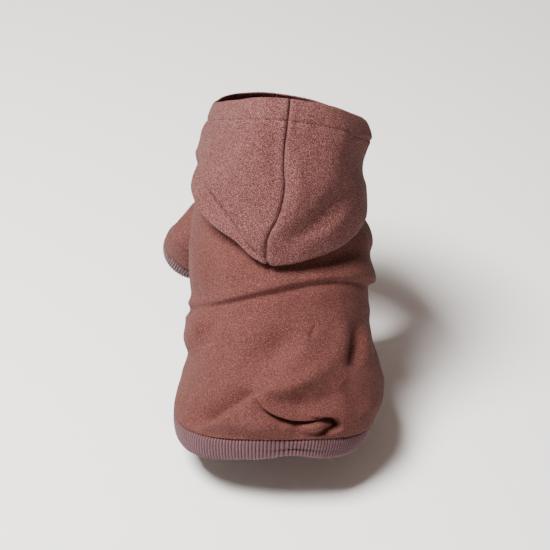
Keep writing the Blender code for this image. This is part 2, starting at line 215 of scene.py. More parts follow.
# Ridges and valleys seen square to the back: start, middle, end, lift, width.
# Points are (across, along) shares of width and length; lift and width are millimetres.
RIDGES = (
    # the tented puff over the hem band, its sharp ridge and the valley beside it
    ((-0.46, 0.135), (-0.33, 0.186), (-0.2, 0.236), -2.2, 9.0),
    ((-0.145, 0.216), (-0.02, 0.232), (0.14, 0.262), 2.6, 7.0),
    ((-0.36, 0.085), (-0.12, 0.1), (0.06, 0.098), 6.0, 13.0),
    ((-0.22, 0.15), (-0.14, 0.15), (-0.04, 0.118), 4.2, 10.0),
    ((-0.36, 0.076), (-0.33, 0.068), (-0.3, 0.062), -2.8, 3.0),
    ((-0.27, 0.07), (-0.22, 0.078), (-0.18, 0.07), -1.4, 3.0),
    ((0.08, 0.108), (0.15, 0.11), (0.215, 0.114), 6.0, 4.5),
    # the rump's soft ridges and valleys
    ((-0.4, 0.475), (-0.46, 0.4), (-0.5, 0.34), 4.2, 5.5),
    ((-0.33, 0.49), (-0.38, 0.43), (-0.42, 0.35), -4.2, 7.0),
    ((-0.1, 0.46), (-0.22, 0.39), (-0.33, 0.31), 2.0, 10.0),
    ((0.08, 0.425), (-0.05, 0.355), (-0.17, 0.29), -4.0, 10.0),
    ((0.14, 0.35), (0.0, 0.29), (-0.16, 0.24), 3.2, 10.0),
    ((0.26, 0.315), (0.1, 0.262), (-0.13, 0.215), 4.6, 8.0),
    ((0.3, 0.22), (0.16, 0.19), (0.02, 0.185), -2.4, 8.0),
    ((0.385, 0.44), (0.372, 0.36), (0.355, 0.29), -5.5, 5.0),
    ((0.45, 0.43), (0.445, 0.35), (0.46, 0.29), 3.4, 5.5),
    ((0.31, 0.44), (0.3, 0.37), (0.28, 0.31), 2.4, 8.0),
    ((0.3, 0.25), (0.37, 0.2), (0.43, 0.15), -3.4, 8.0),
    ((0.165, 0.43), (0.14, 0.408), (0.12, 0.392), -2.2, 2.4),
    ((0.15, 0.424), (0.125, 0.402), (0.1, 0.384), 1.4, 2.6),
    ((-0.5, 0.462), (-0.475, 0.474), (-0.45, 0.482), -3.0, 3.0),
    # soft drag lines on the shoulders
    ((-0.44, 0.64), (-0.2, 0.59), (0.08, 0.6), 2.2, 12.0),
    ((-0.45, 0.72), (-0.42, 0.63), (-0.41, 0.56), 2.4, 6.0),
    ((0.1, 0.625), (0.28, 0.65), (0.44, 0.72), -2.4, 9.0),
    ((0.3, 0.61), (0.4, 0.61), (0.47, 0.6), 2.2, 6.0),
)
# Overlaps, where cloth hangs over cloth: path, lift, tuck, overhang, width and edge in
# millimetres, and its strength at start and end.
# The cloth on the left of the path, walking along it, lies on top.
OVERLAPS = (
    (((-0.62, 0.492), (-0.38, 0.5), (-0.1, 0.538), (0.13, 0.569), (0.36, 0.578), (0.62, 0.545)),
     3.6, 3.2, 0.9, 8.0, 1.2, 0.85, 0.95),
    (((-0.153, 0.212), (-0.0975, 0.173), (0.0144, 0.144), (0.133, 0.136), (0.215, 0.1345)),
     4.4, 6.5, 3.2, 6.0, 0.45, 1.0, 0.8),
    (((0.17, 0.146), (0.268, 0.133), (0.29, 0.1), (0.2, 0.0815), (0.09, 0.074)),
     2.6, 12.0, 1.0, 6.5, 0.45, 1.1, 0.9),
    (((-0.145, 0.216), (-0.3, 0.152), (-0.48, 0.08)), 4.8, 7.5, 0.8, 11.0, 0.7, 1.1, 0.9),
)
# Millimetres that the outlines stand out further than the plain form
# along, left, right
BODY_SIDES = (
    (0.44, 0.0, 1.5), (0.475, 0.0, 3.0), (0.512, -3.5, 3.0), (0.556, 0.5, 4.4),
    (0.6, 1.0, 4.6), (0.664, 0.0, 1.0), (0.702, 0.0, 4.0), (0.74, 0.0, 4.6),
    (0.777, 0.0, 2.5), (0.82, 0.0, 0.0),
)
SPINE_OVERLAP = OVERLAPS[0][0]
OVERLAP_MIDDLE = 0.54
OVERLAP_LOW = 0.35
OVERLAP_HIGH = 0.7
OVERLAP_STEPS = 60
OVERLAP_ROUNDS = 4
FLANK_POWER = 0.9
KEEL_POWER = 1.5
NORMAL_STEP = 0.004
MM = 0.001
# Folds: steps along a path, and how they fade at its ends and beside it
PATH_STEPS = 33
FADE_START = 0.015
FADE_END = 0.985
FADE_POWER = 0.55
FAR_REACH = 9
UNDER_NARROWING = 1.25
SLIDE_NARROWING = 1.5
STEEPEST_EDGE = 40
# Unevenness: waves, their shortest and longest share of a wave length, and a divisor
NOISE_WAVES = 10
NOISE_WAVE_SHARES = (0.7, 1.5)
NOISE_DIVISOR = 4
# Unevenness of each cloth: height, wave length, seed
TORSO_NOISE = ((0.0007, 0.05, 3), (0.00028, 0.018, 4))
SLEEVE_NOISE = (0.0008, 0.028, 7)
HEM_NOISE = (0.0009, 0.045, 11)
HOOD_NOISE = (0.0008, 0.045, 21)
SIDE_START = 0.35
SIDE_SPAN = 0.6
TORSO_SIDE_SHARE = 0.46
# Rows up the back: where each stretch starts, as a share of the back, and its rows
HEM_ROWS = 58
ROW_STRETCHES = ((0.25, 36), (0.51, 22), (0.57, 22), (0.74, 20), (1.0, 0))
ROWS_SPREAD = 0.22
LEVEL_AT_NECK = 0.2
LEVEL_AT_HEM = 0.1
# Cosine of the turn where the belly begins, for the rows and for the folds, which fade there
BELLY_COSINE = -0.3
FOLD_FADE_COSINE = -0.25
FOLD_FADE_PACE = 12
HOLD_START = 0.05
# waves round, drift, waves of the drift
HEM_GATHERS = (46, 2.0, 7)
GATHER_LIFT = 0.0005
GATHER_REACH = 0.008
SWELL_TURN = -1.25
SWELL_SPREAD = 0.55
SWELL_REACH = 0.035
SWELL_SHARE = 0.7


def ease(share):
    """A share held between 0 and 1, with soft ends."""
    share = np.clip(share, 0, 1)
    return share * share * (3 - 2 * share)


def bell(distance, width):
    """1 in the middle, fading smoothly to 0 well beyond the width."""
    return np.exp(-((distance / width) ** 2))


def uneven_wave(angle, count, drift, drift_count):
    """A wave round the cloth whose pace drifts, for gathers and puckers."""
    return np.sin(angle * count + drift * np.sin(angle * drift_count))


def smooth_rows(rows, key):
    """Read a table at key, with a smooth curve through its rows."""
    table = np.array(rows, dtype=float)
    knots = table[:, 0]
    values = table[:, 1:]
    key = np.asarray(key, dtype=float)
    slopes = np.gradient(values, knots, axis=0)
    low = np.clip(np.searchsorted(knots, key, side="right") - 1, 0, len(knots) - 2)
    span = (knots[low + 1] - knots[low])[..., None]
    s = (np.clip(key, knots[0], knots[-1]) - knots[low])[..., None] / span
    start = (2 * s**3 - 3 * s**2 + 1) * values[low] + (s**3 - 2 * s**2 + s) * span * slopes[low]
    end = (3 * s**2 - 2 * s**3) * values[low + 1] + (s**3 - s**2) * span * slopes[low + 1]
    return start + end


def torso_form(turn, along):
    """The torso without folds: turn 0 is the spine and minus is left."""
    turn = np.asarray(turn, dtype=float)
    along = np.asarray(along, dtype=float)
    rows = smooth_rows(TORSO_SECTIONS, along)
    spine_out, belly_along, belly_out, left, right_side, sag, keel = np.moveaxis(rows, -1, 0)
    down = (1 - np.cos(turn)) / 2
    side = np.sin(turn)
    half_width = np.where(side < 0, left, right_side) * TORSO_WIDTH
    across = half_width * np.sign(side) * np.abs(side) ** FLANK_POWER
    across = across * (1 - keel * np.clip(-np.cos(turn), 0, 1) ** KEEL_POWER)
    length = (along + (belly_along - along) * down**sag) * BACK_LENGTH
    out = TORSO_DEPTH * ((spine_out + belly_out) / 2 + (spine_out - belly_out) / 2 * np.cos(turn))
    return np.stack([across, length, out], axis=-1)


def torso_normal(turn, along):
    """Outward unit normal of the torso form."""
    along = np.clip(along, NORMAL_STEP, 1 - NORMAL_STEP)
    by_turn = torso_form(turn + NORMAL_STEP, along) - torso_form(turn - NORMAL_STEP, along)
    by_along = torso_form(turn, along + NORMAL_STEP) - torso_form(turn, along - NORMAL_STEP)
    normal = np.cross(by_along, by_turn)
    return -normal / np.linalg.norm(normal, axis=-1, keepdims=True)


def path_points(path, count):
    """Points on a smooth line through the few points of a path."""
    path = np.array(path, dtype=float)
    rows = np.column_stack([np.linspace(0, 1, len(path)), path])
    return smooth_rows(rows, np.linspace(0, 1, count))


def path_distance(seen, path, size):
    """Signed distance to a path, share along it, and its left side's direction."""
    line = path_points(path, PATH_STEPS) * np.array(size)
    best = np.full(seen.shape[:-1], np.inf)
    signed = np.zeros_like(best)
    share = np.zeros_like(best)
    left_side = np.zeros(seen.shape)
    for index in range(len(line) - 1):
        run = line[index + 1] - line[index]
        rel = seen - line[index]
        s = np.clip((rel @ run) / (run @ run), 0, 1)
        gap = rel - s[..., None] * run
        distance = np.linalg.norm(gap, axis=-1)
        sign = np.where(run[0] * rel[..., 1] - run[1] * rel[..., 0] >= 0, 1.0, -1.0)
        nearer = distance < best
        best = np.where(nearer, distance, best)
        signed = np.where(nearer, distance * sign, signed)
        share = np.where(nearer, (index + s) / (len(line) - 1), share)
        side = np.array([-run[1], run[0]]) / np.linalg.norm(run)
        left_side = np.where(nearer[..., None], side, left_side)
    return signed, share, left_side


def soft_ends(share):
    """Fades a fold in and out at the ends of its path."""
    return np.clip(np.sin(np.pi * np.clip(share, FADE_START, FADE_END)), 0, 1) ** FADE_POWER


def ridge_lift(seen, ridges, size):
    """Height of a table of ridges and valleys at points seen square to the back."""
    lift = np.zeros(seen.shape[:-1])
    for start, middle, end, height, width in ridges:
        distance, share, _ = path_distance(seen, (start, middle, end), size)
        lift += height * MM * bell(distance * 1000, width) * soft_ends(share)
    return lift


def overlap_move(seen, overlap, size, fade_ends=True):
    """Lift, and slide across the back, where cloth hangs over cloth."""
    path, height, tuck, overhang, width, edge, first, last = overlap
    signed, share, left_side = path_distance(seen, path, size)
    reach = signed * 1000 / width
    ends = first + (last - first) * share
    if fade_ends:
        ends = ends * soft_ends(share)
    on_top = 1 / (1 + np.exp(-np.clip(signed * 1000 / edge, -STEEPEST_EDGE, STEEPEST_EDGE)))
    reach_over = np.clip(reach, 0, FAR_REACH)
    reach_under = np.clip(-reach, 0, FAR_REACH)
    over = height * np.exp(-reach_over**2) * on_top
    under = -tuck * np.exp(-((reach_under * UNDER_NARROWING) ** 2)) * (1 - on_top)
    slide = overhang * np.exp(-reach_over**2 * SLIDE_NARROWING) * on_top
    lift = (over + under) * ends * MM
    return lift, -left_side * (slide * ends * MM)[..., None]


def cloth_noise(points, height, wave, seed):
    """Soft seeded unevenness in the cloth, of about one height and one wave length."""
    chance = np.random.default_rng(seed)
    total = np.zeros(points.shape[:-1])
    for _ in range(NOISE_WAVES):
        way = chance.normal(size=3)
        way /= np.linalg.norm(way)
        pace = 2 * np.pi / (wave * chance.uniform(*NOISE_WAVE_SHARES))
        total += np.sin(points @ way * pace + chance.uniform(0, 2 * np.pi))
    return height * (total / NOISE_DIVISOR)


def side_shift(points, table, centre, half_width):
    """How far to move cloth across, so that its outline follows a table of sides."""
    rows = smooth_rows(table, points[..., 1] / BACK_LENGTH) * MM
    off = (points[..., 0] - centre) / half_width
    weight = ease((np.abs(off) - SIDE_START) / SIDE_SPAN)
    return np.where(off < 0, -rows[..., 0], rows[..., 1]) * weight


def overlap_along(turn):
    """Where the overlap across the spine crosses each turn, as a share of the back."""
    line = path_points(SPINE_OVERLAP, OVERLAP_STEPS)
    along = np.full(turn.shape, OVERLAP_MIDDLE)
    for _ in range(OVERLAP_ROUNDS):
        form = torso_form(turn, along)
        target = np.interp(form[..., 0] / TORSO_WIDTH, line[:, 0], line[:, 1])
        along = along + target - form[..., 1] / BACK_LENGTH
    held = np.clip(along, OVERLAP_LOW, OVERLAP_HIGH)
    return np.where(np.cos(turn) < BELLY_COSINE, OVERLAP_MIDDLE, held)


def torso_rows(turns):
    """Rows up the back for each turn: dense at the overlap, and level with it."""
    hem = (HEM_BAND_WIDTH + PANEL_GAP) / BACK_LENGTH
    stops = ((hem, HEM_ROWS), *ROW_STRETCHES)
    rows = []
    for (first, count), (last, _) in zip(stops, stops[1:]):
        rows.extend(np.linspace(first, last, count, endpoint=False))
    rows = np.array(rows + [1.0])
    shift = overlap_along(turns) - OVERLAP_MIDDLE
    near = bell(rows - OVERLAP_MIDDLE, ROWS_SPREAD)
    near = near * np.clip((1 - rows) / LEVEL_AT_NECK, 0, 1)
    near = near * np.clip((rows - hem) / LEVEL_AT_HEM, 0, 1)
    return rows + shift[:, None] * near


def torso_cloth(turn, along):
    """Outer face of the torso cloth with its folds; the hem band holds them in."""
    form = torso_form(turn, along)
    normal = torso_normal(turn, along)
    seen = form[..., :2]
    size = (TORSO_WIDTH, BACK_LENGTH)
    held = ease((along * BACK_LENGTH - HEM_BAND_WIDTH) / HEM_HOLD - HOLD_START)
    upper_side = 1 / (1 + np.exp(-(np.cos(turn) - FOLD_FADE_COSINE) * FOLD_FADE_PACE))
    lift = ridge_lift(seen, RIDGES, size)
    slide = np.zeros(seen.shape)
    for index, overlap in enumerate(OVERLAPS):
        rise, move = overlap_move(seen, overlap, size, fade_ends=index > 0)
        lift += rise
        slide += move
    lift = lift * upper_side
    lift += sum(cloth_noise(form, *noise) for noise in TORSO_NOISE)
    above_band = along * BACK_LENGTH - HEM_BAND_WIDTH
    gathers = uneven_wave(turn, *HEM_GATHERS) * np.exp(-above_band / GATHER_REACH)
    lift += GATHER_LIFT * gathers
    slide = slide * (upper_side * held)[..., None]
    moved = form + normal * (lift * held)[..., None]
    moved[..., :2] += slide
    swell = HEM_LEFT_SWELL * bell(turn - SWELL_TURN, SWELL_SPREAD)
    swell = swell * bell(along * BACK_LENGTH, SWELL_REACH)
    moved = moved + normal * (swell * SWELL_SHARE)[..., None]
    moved[..., 0] += side_shift(form, BODY_SIDES, 0.0, TORSO_WIDTH * TORSO_SIDE_SHARE) * upper_side
    return moved


def give_wall(item, wall):
    """Thicken a piece of cloth inwards from its outer face."""
    shell = item.modifiers.new("Wall", "SOLIDIFY")
    shell.thickness = wall
    shell.offset = -1


def sheet_object(name, points, wrap=False, keep=None):
    """A cloth object through a grid of points, as a face without a wall."""
    columns, rows = points.shape[:2]
    number = np.arange(columns * rows).reshape(columns, rows)
    if wrap:
        number = np.vstack([number, number[:1]])
    faces = np.stack([number[:-1, :-1], number[1:, :-1], number[1:, 1:], number[:-1, 1:]], axis=-1)
    faces = faces.reshape(-1, 4)
    if keep is not None:
        faces = faces[keep.reshape(-1)[faces].all(axis=1)]
    mesh = bpy.data.meshes.new(name)
    mesh.from_pydata(points.reshape(-1, 3).tolist(), [], faces.tolist())
    loose = np.setdiff1d(np.arange(columns * rows), np.unique(faces))
    if len(loose):
        form = bmesh.new()
        form.from_mesh(mesh)
        form.verts.ensure_lookup_table()
        bmesh.ops.delete(form, geom=[form.verts[i] for i in loose], context="VERTS")
        form.to_mesh(mesh)
        form.free()
    mesh.shade_smooth()
    return add_object(name, mesh)


def walled_cloth(name, points, wall, material, wrap=False, keep=None):
    """A cloth object with its wall and its material."""
    item = sheet_object(name, points, wrap, keep)
    give_wall(item, wall)
    item.data.materials.append(material)
    return item


def add_bump(tree, rise, strength, distance):
    """The normal of a surface raised by a height."""
    inputs = {"Height": rise, "Strength": strength, "Distance": distance}
    return add_node(tree, "ShaderNodeBump", inputs).outputs["Normal"]


def nap_material(name, dark, middle, light, speckle):
    """Brushed fleece: a speckled nap of lighter fibre ends over a darker ground."""
    material, tree, shader = new_material(name)
    spot = add_node(tree, "ShaderNodeTexCoord").outputs["Object"]

    def noise(scale, detail, rough):
        inputs = {"Vector": spot, "Scale": scale, "Detail": detail, "Roughness": rough}
        return add_node(tree, "ShaderNodeTexNoise", inputs).outputs["Fac"]

    patches = noise(scale=30, detail=2, rough=0.5)
    clumps = noise(scale=800, detail=2, rough=0.7)
    fibres = noise(scale=1900, detail=1, rough=0.7)
    ground = add_mix(tree, add_range(tree, clumps, low=0.22, high=0.74), dark, middle)
    fibre_ends = add_range(tree, fibres, low=0.48, high=0.70)
    amount = add_node(tree, "ShaderNodeMath", {0: fibre_ends, 1: speckle}, operation="MULTIPLY")
    tips = add_mix(tree, amount.outputs["Value"], ground, light)
    patch_shade = (0.90, 0.87, 0.86, 1.0)
    patch_range = add_range(tree, patches, low=0.40, high=0.75)
    shade = add_mix(tree, patch_range, tips, patch_shade, blend="MULTIPLY")
    rise = add_node(tree, "ShaderNodeMath", {0: clumps, 1: fibres}, operation="ADD")
    wire(tree, shader, {
        "Base Color": shade,
        "Normal": add_bump(tree, rise.outputs["Value"], strength=0.45, distance=0.0007),
        "Roughness": 0.92,
        "Specular IOR Level": 0.15,
        "Sheen Weight": 0.02,
        "Sheen Roughness": 0.55,
        "Sheen Tint": (1.0, 0.80, 0.74, 1.0),
    })
    return material


body_fleece = nap_material(
    "body_fleece",
    dark=(0.044, 0.01, 0.008, 1),
    middle=(0.086, 0.0245, 0.0195, 1),
    light=(0.36, 0.18, 0.162, 1),
    speckle=0.46,
)


def sleeve_axis(shoulder, cuff):
    """The shoulder end, the axis and two unit directions square to it."""
    size = np.array([TORSO_WIDTH, BACK_LENGTH, TORSO_DEPTH])
    top = np.array(shoulder) * size
    axis = np.array(cuff) * size - top
    axis /= np.linalg.norm(axis)
    outward = np.array([1.0, 0.0, 0.0])
    outward = outward - axis * (outward @ axis)
    outward /= np.linalg.norm(outward)
    return top, axis, outward, np.cross(axis, outward)


SLEEVE_RADIUS = 0.031
SLEEVE_LENGTH = 0.079
CUFF_RADIUS = 0.0265
SLEEVE_SWELL = (
    (-0.2, 0.4), (-0.05, 0.6), (0.15, 0.76), (0.4, 0.92),
    (0.65, 0.98), (0.88, 0.97),
)
# side, shoulder, cuff
SLEEVES = (
    ("left", (-0.27, 0.85, -0.067), (-0.41, 0.69, -0.52)),
    ("right", (0.245, 0.81, -0.1), (0.385, 0.665, -0.52)),
)

# Millimetres that the left sleeve's outer side is pressed in where the shoulder slopes
# along, inward
LEFT_SHOULDER_SLOPE = (
    (0.715, 0.0), (0.74, 2.0), (0.777, 6.5), (0.815, 10.0),
    (0.87, 12.0),
)
SHOULDER_START = 0.04
SHOULDER_SPAN = 0.02
CUFF_EASE = 1.01
# How far armholes reach before the shoulder, and their share of the sleeve
ARMHOLE_BEFORE = 0.008
ARMHOLE_SHARE = 0.8
NO_ARMHOLE = 1.0
ARMHOLE_GROOVE = 0.0022
GROOVE_WIDTH = 0.004
ARMHOLE_WALLS = 3
FLANK_GAP_SHARE = 0.6
COLUMN_SHARES = (0.8, 0.2)


def shoulder_press(points):
    """How far the left sleeve's outer side is pressed in at points on it."""
    press = smooth_rows(LEFT_SHOULDER_SLOPE, points[..., 1] / BACK_LENGTH)[..., 0] * MM
    return press * np.clip((-points[..., 0] - SHOULDER_START) / SHOULDER_SPAN, 0, 1)


def sleeve_radius(run):
    """The sleeve's radius at a share of its length."""
    cuff_share = CUFF_RADIUS / SLEEVE_RADIUS
    rows = SLEEVE_SWELL + ((1.0, cuff_share * CUFF_EASE), (1.05, cuff_share))
    return smooth_rows(rows, run)[..., 0] * SLEEVE_RADIUS


def armhole_distance(points):
    """How far points of the torso lie outside the nearer sleeve, where they are level with it."""
    nearest = np.full(points.shape[:-1], NO_ARMHOLE)
    for _, shoulder, cuff in SLEEVES:
        top, axis, _, _ = sleeve_axis(shoulder, cuff)
        rel = points - top
        rel[..., 0] -= shoulder_press(points)
        run = rel @ axis
        off = np.linalg.norm(rel - run[..., None] * axis, axis=-1)
        apart = off - sleeve_radius(run / SLEEVE_LENGTH)
        level = (run > -ARMHOLE_BEFORE) & (run < SLEEVE_LENGTH * ARMHOLE_SHARE)
        nearest = np.minimum(nearest, np.where(level, apart, NO_ARMHOLE))
    return nearest


flank_gap_turn = FLANK_GAP_SHARE * PANEL_GAP / TORSO_WIDTH
chest_start = CHEST_TURN + flank_gap_turn
chest_end = 2 * math.pi - CHEST_TURN - flank_gap_turn
# name, node, first and last turn, columns, flat size
PANELS = (
    ("back_cloth", "back_panel", -CHEST_TURN, CHEST_TURN, BACK_COLUMNS, (0.37, 0.26)),
    ("chest_cloth", "chest_panel", chest_start, chest_end, CHEST_COLUMNS, (0.135, 0.2)),
)
for name, node, first, last, columns, flat in PANELS:
    even = np.linspace(-1, 1, columns + 1)
    spaced = COLUMN_SHARES[0] * even + COLUMN_SHARES[1] * even**3
    turns = (first + last) / 2 + (last - first) / 2 * spaced
    along = torso_rows(turns)
    turn = np.broadcast_to(turns[:, None], along.shape)
    cloth = torso_cloth(turn, along)
    from_armhole = armhole_distance(cloth)
    groove = ARMHOLE_GROOVE * bell(from_armhole, GROOVE_WIDTH)
    cloth -= torso_normal(turn, along) * groove[..., None]
    kept = from_armhole > -ARMHOLE_WALLS * FLEECE_WALL
    panel = walled_cloth(name, place(cloth), FLEECE_WALL, body_fleece, keep=kept)
    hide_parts(node)
    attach(panel, "root")


# Sleeves
# Short tubes of the same fleece, set into the armholes and gathered into a rib cuff.
# The left one pushes out at the side; the right one lies close against the chest.
CREASE_SPREAD = 0.8
# around in degrees, down the sleeve as a share, lift and width in millimetres, slant
SLEEVE_CREASES = (
    (150, 0.62, 1.6, 4.0, 0.1),
    (210, 0.78, -1.4, 3.5, -0.12),
    (100, 0.86, 1.2, 3.0, 0.08),
    (320, 0.7, -1.5, 4.0, 0.15),
    (40, 0.8, 1.4, 4.0, -0.1),
)
SLEEVE_START = -0.2
SLEEVE_END = 1.045
SLEEVE_ROWS = 80
SLEEVE_COLUMNS = 150
SLEEVE_GATHERS = (15, 1.0, 4)
SLEEVE_GATHER = 0.0003
SLEEVE_GATHER_REACH = 0.006
SLEEVE_TUCK = 0.004
BATCH = 500
# The torso's own face as loose points, to tell how deep a sleeve's head lies in it
torso_turns = np.linspace(-math.pi, math.pi, 120, endpoint=False)
torso_turn, torso_along = np.meshgrid(torso_turns, np.linspace(0.3, 1.0, 50), indexing="ij")
torso_points = torso_form(torso_turn, torso_along).reshape(-1, 3)
torso_out = torso_normal(torso_turn, torso_along).reshape(-1, 3)


def outside_torso(points, depth):
    """True where a point is less than depth under the torso cloth, or outside it."""
    flat = points.reshape(-1, 3)
    apart = np.zeros(len(flat))
    for index in range(0, len(flat), BATCH):
        part = flat[index:index + BATCH]
        near = ((part[:, None] - torso_points[None]) ** 2).sum(axis=-1).argmin(axis=1)
        height = ((part - torso_points[near]) * torso_out[near]).sum(axis=-1)
        apart[index:index + BATCH] = height
    return (apart > -depth).reshape(points.shape[:-1])


for side, shoulder, cuff_spot in SLEEVES:
    top, axis, outward, across = sleeve_axis(shoulder, cuff_spot)
    rows = np.linspace(SLEEVE_START, SLEEVE_END, SLEEVE_ROWS)
    angles = np.linspace(0, 2 * np.pi, SLEEVE_COLUMNS, endpoint=False)
    run, angle = np.meshgrid(rows, angles)
    radius = sleeve_radius(run)
    for degrees, share, height, width, slant in SLEEVE_CREASES:
        apart = (angle - math.radians(degrees) + np.pi) % (2 * np.pi) - np.pi
        distance = (run - share - slant * apart) * SLEEVE_LENGTH * 1000
        radius += height * MM * bell(distance, width) * bell(apart, CREASE_SPREAD)
    gathers = np.exp(-np.abs(1 - run) * SLEEVE_LENGTH / SLEEVE_GATHER_REACH)
    radius += SLEEVE_GATHER * uneven_wave(angle, *SLEEVE_GATHERS) * gathers
    around = np.cos(angle)[..., None] * outward + np.sin(angle)[..., None] * across
    tube = top + axis * (run * SLEEVE_LENGTH)[..., None] + around * radius[..., None]
    tube += around * cloth_noise(tube, *SLEEVE_NOISE)[..., None]
    tube[..., 0] += shoulder_press(tube)
    kept = outside_torso(tube, SLEEVE_TUCK)
    name = side + "_sleeve_cloth"
    sleeve = walled_cloth(name, place(tube), FLEECE_WALL, body_fleece, wrap=True, keep=kept)
    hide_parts(side + "_sleeve")
    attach(sleeve, "root")


# Cuffs
# Tubes of 1x1 rib knit in a plum brown, folded double and sewn to the sleeves.
# Each knitted rib is a round cord of loops about two and a half millimetres wide.
RIB_WALL = 0.003
RIB_PITCH = 0.0025
RIB_HEIGHT = 0.0009
CUFF_WIDTH = 0.014
SEAM_GAP = 0.0003
STEPS_PER_RIB = 6
CUFF_SWELL = ((0.0, 0.05), (0.35, 0.0), (0.75, -0.15), (1.0, -0.3))
CUFF_ROWS = 16
CUFF_LOOP_ROWS = 7
EDGE_DROP = 0.001
EDGE_REACH = 0.0012
RIB_ROUNDNESS = 0.7
LOOP_HEIGHT = 0.25


def rib_material():
    """Rib knit with painted shade in its furrows and painted light on its crowns, and small loops in
    rows up each rib.
    """
    material, tree, shader = new_material("plum_rib")
    crown = add_node(tree, "ShaderNodeAttribute", attribute_name="crown").outputs["Fac"]
    loops = add_node(tree, "ShaderNodeAttribute", attribute_name="loops").outputs["Fac"]
    spot = add_node(tree, "ShaderNodeTexCoord").outputs["Object"]
    noise_inputs = {"Vector": spot, "Scale": 900, "Detail": 3}
    fuzz = add_node(tree, "ShaderNodeTexNoise", noise_inputs).outputs["Fac"]
    wave = add_node(tree, "ShaderNodeMath", {0: loops}, operation="SINE").outputs["Value"]
    # Painted shade and light: the furrows between the ribs are coloured dark and the crowns lighter, as
    # shade and light fall on them.
    painted_furrow_shade = (0.024, 0.0090, 0.0100, 1)
    painted_crown_light = (0.110, 0.0500, 0.0580, 1)
    base = add_mix(tree, crown, painted_furrow_shade, painted_crown_light)
    terms = {0: wave, 1: LOOP_HEIGHT, 2: fuzz}
    rise = add_node(tree, "ShaderNodeMath", terms, operation="MULTIPLY_ADD")
    wire(tree, shader, {
        "Base Color": add_mix(tree, 0.55, base, fuzz, blend="OVERLAY"),
        "Normal": add_bump(tree, rise.outputs["Value"], strength=0.5, distance=0.0006),
        "Roughness": 0.88,
        "Specular IOR Level": 0.2,
        "Sheen Weight": 0.15,
        "Sheen Roughness": 0.5,
    })
    return material


plum_rib = rib_material()


def new_tree(name, numbers):
    """A geometry nodes tree that takes geometry, some numbers and a material."""
    tree = bpy.data.node_groups.new(name, "GeometryNodeTree")
    taken = [("Geometry", "Geometry")] + [(number, "Float") for number in numbers]
    for label, kind in taken + [("Material", "Material")]:
        tree.interface.new_socket(label, in_out="INPUT", socket_type="NodeSocket" + kind)
    tree.interface.new_socket("Geometry", in_out="OUTPUT", socket_type="NodeSocketGeometry")
    return tree, tree.nodes.new("NodeGroupInput").outputs


def end_tree(tree, given, geometry):
    """Make the geometry real, give it the material and hand it over."""
    whole = add_node(tree, "GeometryNodeRealizeInstances", {"Geometry": geometry})
    inputs = {"Geometry": whole.outputs["Geometry"], "Material": given["Material"]}
    painted = add_node(tree, "GeometryNodeSetMaterial", inputs)
    add_node(tree, "NodeGroupOutput", {"Geometry": painted.outputs["Geometry"]})
    return tree


def rib_tree():
    """Geometry nodes that raise knitted ribs along a band, from its around attribute."""
    tree, given = new_tree("knitted_ribs", ("Rib Count", "Rib Height"))

    def maths(operation, *terms):
        node = add_node(tree, "ShaderNodeMath", dict(enumerate(terms)), operation=operation)
        return node.outputs["Value"]

    around = add_node(tree, "GeometryNodeInputNamedAttribute", {"Name": "around"}, data_type="FLOAT")
    count = maths("MULTIPLY", around.outputs["Attribute"], given["Rib Count"])
    wave = maths("ABSOLUTE", maths("SINE", maths("MULTIPLY", count, math.pi)))
    crown = maths("POWER", wave, RIB_ROUNDNESS)
    rise = maths("MULTIPLY", crown, given["Rib Height"])
    normal = add_node(tree, "GeometryNodeInputNormal").outputs["Normal"]
    offset = add_node(tree, "ShaderNodeVectorMath", {0: normal, "Scale": rise}, operation="SCALE")
    inputs = {"Geometry": given["Geometry"], "Offset": offset.outputs["Vector"]}
    raised = add_node(tree, "GeometryNodeSetPosition", inputs)
    # The crown share is kept for the rib material, which paints shade into the furrows and light onto
    # the crowns from it.
    inputs = {"Name": "crown", "Geometry": raised.outputs["Geometry"], "Value": crown}
    stored = add_node(tree, "GeometryNodeStoreNamedAttribute", inputs, data_type="FLOAT", domain="POINT")
    return end_tree(tree, given, stored.outputs["Geometry"])


def bake(item, tree, values):
    """Run a node tree on a piece and keep its result as a plain mesh."""
    modifier = item.modifiers.new("Nodes", "NODES")
    modifier.node_group = tree
    for socket in tree.interface.items_tree:
        if socket.in_out == "INPUT" and socket.name in values:
            modifier[socket.identifier] = values[socket.name]
    graph = bpy.context.evaluated_depsgraph_get()
    mesh = bpy.data.meshes.new_from_object(item.evaluated_get(graph))
    name = item.name
    if item.type == "CURVE":
        bpy.data.objects.remove(item)
        return add_object(name, mesh)
    item.modifiers.remove(modifier)
    item.data = mesh
    return item


knitted_ribs = rib_tree()


def knit_band(name, points, rib_count, wall, loop_rows):
    """A band of ribs round a closed loop of columns, with its double wall."""
    item = sheet_object(name, points, wrap=True)
    columns, rows = points.shape[:2]
    around = np.repeat(np.arange(columns) / columns, rows)
    height = np.tile(np.linspace(0, 1, rows), columns)
    for label, values in (("around", around), ("loops", height * loop_rows * 2 * np.pi)):
        layer = item.data.attributes.new(label, "FLOAT", "POINT")
        layer.data.foreach_set("value", values.astype(np.float32))
    values = {"Rib Count": float(rib_count), "Rib Height": RIB_HEIGHT, "Material": plum_rib}
    item = bake(item, knitted_ribs, values)
    item.data.shade_smooth()
    give_wall(item, wall)
    return item


